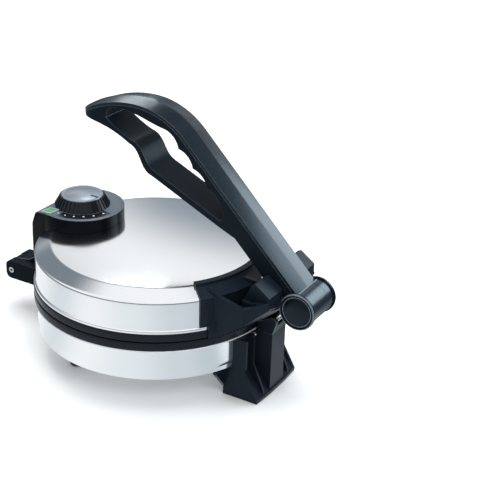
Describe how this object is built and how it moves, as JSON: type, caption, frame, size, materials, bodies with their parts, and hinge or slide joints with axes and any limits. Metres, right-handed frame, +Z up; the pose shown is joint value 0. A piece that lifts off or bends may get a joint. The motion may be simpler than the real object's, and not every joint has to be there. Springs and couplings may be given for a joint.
{
  "type": "electric roti maker",
  "caption": "Round electric flatbread griddle: two heated plates in a stainless shell and hinged lid, a long press handle, a thermostat dial and a raised front foot.",
  "frame": {"origin": "on the table, below the middle of the cooker's front-to-back reach", "axes": "+Z up, +Y towards the rear hinge, -Y towards the press handle's pivot, +X to the right seen from the front"},
  "size_m": [0.242, 0.369, 0.2646],
  "materials": {
    "stainless": "polished stainless, softly blurred reflections",
    "grey_plastic": "satin",
    "black_plastic": "fine grained black",
    "cover_plastic": "dark grey satin",
    "housing_plastic": "satin grey",
    "scale_print": "printed black",
    "knob_plastic": "satin silver grey",
    "pointer_print": "black",
    "green_lens": "translucent green",
    "plate_coat": "non-stick coat",
    "steel": "bright zinc",
    "aluminium": "mill",
    "rubber": "matt",
    "ceramic": "white"
  },
  "bodies": {
    "base": {"lower_shell": "stainless", "bottom_cover": "aluminium", "rear_feet": "black_plastic", "foot_pads": "rubber", "lower_ring": "grey_plastic", "lower_plate": "plate_coat", "lower_element": "steel", "lower_heat_shield": "aluminium", "lower_plate_studs": "steel", "front_bracket": "black_plastic", "catch_block": "black_plastic", "catch_bar": "steel", "front_bracket_screws": "steel", "rear_hinge_bracket": "black_plastic", "hinge_pin": "steel", "rear_bracket_screws": "steel", "cord_gland": "rubber", "terminal_block": "ceramic"},
    "lid": {"lid_cover": "stainless", "upper_ring": "grey_plastic", "upper_plate": "plate_coat", "upper_element": "steel", "upper_heat_shield": "aluminium", "upper_plate_studs": "steel", "dial_housing": "housing_plastic", "dial_cover": "housing_plastic", "dial_scale": "scale_print", "pilot_lens": "green_lens", "thermostat_body": "steel", "lid_hinge_lug": "black_plastic", "lid_bracket": "black_plastic", "lid_bracket_screws": "steel", "handle_shaft": "steel"},
    "press_handle": {"handle_frame": "black_plastic", "handle_cover": "cover_plastic", "hub_cap_left": "black_plastic", "hub_cap_right": "black_plastic"},
    "dial_knob": {"knob_skirt": "knob_plastic", "knob_cap": "knob_plastic", "knob_pointer": "pointer_print", "thermostat_shaft": "steel"}
  },
  "joints": [
    {"name": "lid_hinge", "type": "hinge", "parent": "base", "child": "lid", "pos_m": [0, 0.176, 0.046], "axis": [-1, 0, 0], "range_deg": [0, 100]},
    {"name": "handle_pivot", "type": "hinge", "parent": "lid", "child": "press_handle", "pos_m": [0, -0.1655, 0.101], "axis": [1, 0, 0], "range_deg": [0, 110]},
    {"name": "knob_turn", "type": "hinge", "parent": "lid", "child": "dial_knob", "pos_m": [0, 0.093, 0.137], "axis": [0, 0, 1], "range_deg": [-105, 165]}
  ]
}
